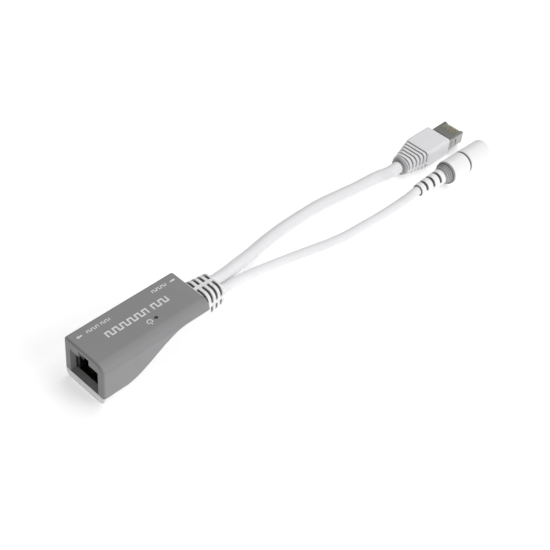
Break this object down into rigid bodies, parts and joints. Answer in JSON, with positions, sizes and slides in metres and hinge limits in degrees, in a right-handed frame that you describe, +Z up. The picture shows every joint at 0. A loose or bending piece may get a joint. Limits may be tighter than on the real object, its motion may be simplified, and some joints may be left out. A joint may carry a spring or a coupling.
{
  "type": "poe injector",
  "caption": "In-line power injector: grey and white snap-together housing with an RJ45 socket, and two short leads ending in a shielded RJ45 plug and a round in-line DC socket.",
  "frame": {"origin": "on the surface it stands on, under the middle of the housing", "axes": "+Z up, +Y from the RJ45 socket face towards the leads, +X to the right seen from the socket face"},
  "size_m": [0.0355, 0.2472, 0.0225],
  "materials": {
    "grey_plastic": "fine matte texture",
    "white_plastic": "satin",
    "soft_white": "soft satin",
    "cable_jacket": "satin jacket",
    "black_plastic": "satin",
    "core_plastic": "satin",
    "nose_plastic": "clear, frosted",
    "nickel_shell": "nickel plate",
    "gold_contact": "gold plate",
    "pin_brass": "nickel plate over brass",
    "board_laminate": "solder mask",
    "light_pipe": "clear",
    "capacitor_can": "bare can",
    "ferrite": "fired ceramic",
    "wire_red": "satin",
    "wire_black": "satin",
    "wire_blue": "satin",
    "wire_orange": "satin",
    "wire_green": "satin",
    "wire_brown": "satin"
  },
  "bodies": {
    "injector": {"top_cover": "grey_plastic", "bottom_cover": "white_plastic", "light_pipe": "light_pipe", "status_led": "light_pipe", "strain_relief": "soft_white", "circuit_board": "board_laminate", "jack_housing": "black_plastic", "lan_transformer": "black_plastic", "inductor": "ferrite", "capacitor": "capacitor_can", "fuse": "soft_white", "protection_diode": "black_plastic", "data_pair_orange": "wire_orange", "data_pair_green": "wire_green", "data_pair_blue": "wire_blue", "data_pair_brown": "wire_brown", "dc_lead_positive": "wire_red", "dc_lead_negative": "wire_black", "data_cable": "cable_jacket", "dc_cable": "cable_jacket", "plug_boot": "soft_white", "plug_body": "nose_plastic", "plug_shield": "nickel_shell", "plug_contacts": "gold_contact", "dc_core": "core_plastic", "dc_front_shell": "white_plastic", "dc_rear_shell": "white_plastic", "dc_relief": "soft_white", "dc_sleeve": "nickel_shell", "dc_pin": "pin_brass"},
    "jack_contact_set": {"jack_contacts": "gold_contact"},
    "plug_latch_lever": {"plug_latch": "nose_plastic"},
    "dc_contact_leaf": {"dc_spring_contact": "nickel_shell"}
  },
  "joints": [
    {"name": "jack_contact_flex", "type": "hinge", "parent": "injector", "child": "jack_contact_set", "pos_m": [0, -0.0237, 0.0064], "axis": [-1, 0, 0], "range_deg": [0, 14], "stiffness_Nm_per_rad": 0.1},
    {"name": "plug_latch_flex", "type": "hinge", "parent": "injector", "child": "plug_latch_lever", "pos_m": [-0.00834, 0.21775, 0.0016], "axis": [-1, -0.0058, 0], "range_deg": [0, 4], "stiffness_Nm_per_rad": 0.2},
    {"name": "dc_contact_flex", "type": "hinge", "parent": "injector", "child": "dc_contact_leaf", "pos_m": [0.01131, 0.2086, 0.00947], "axis": [0.9999, -0.0142, 0], "range_deg": [0, 5], "stiffness_Nm_per_rad": 0.05}
  ]
}
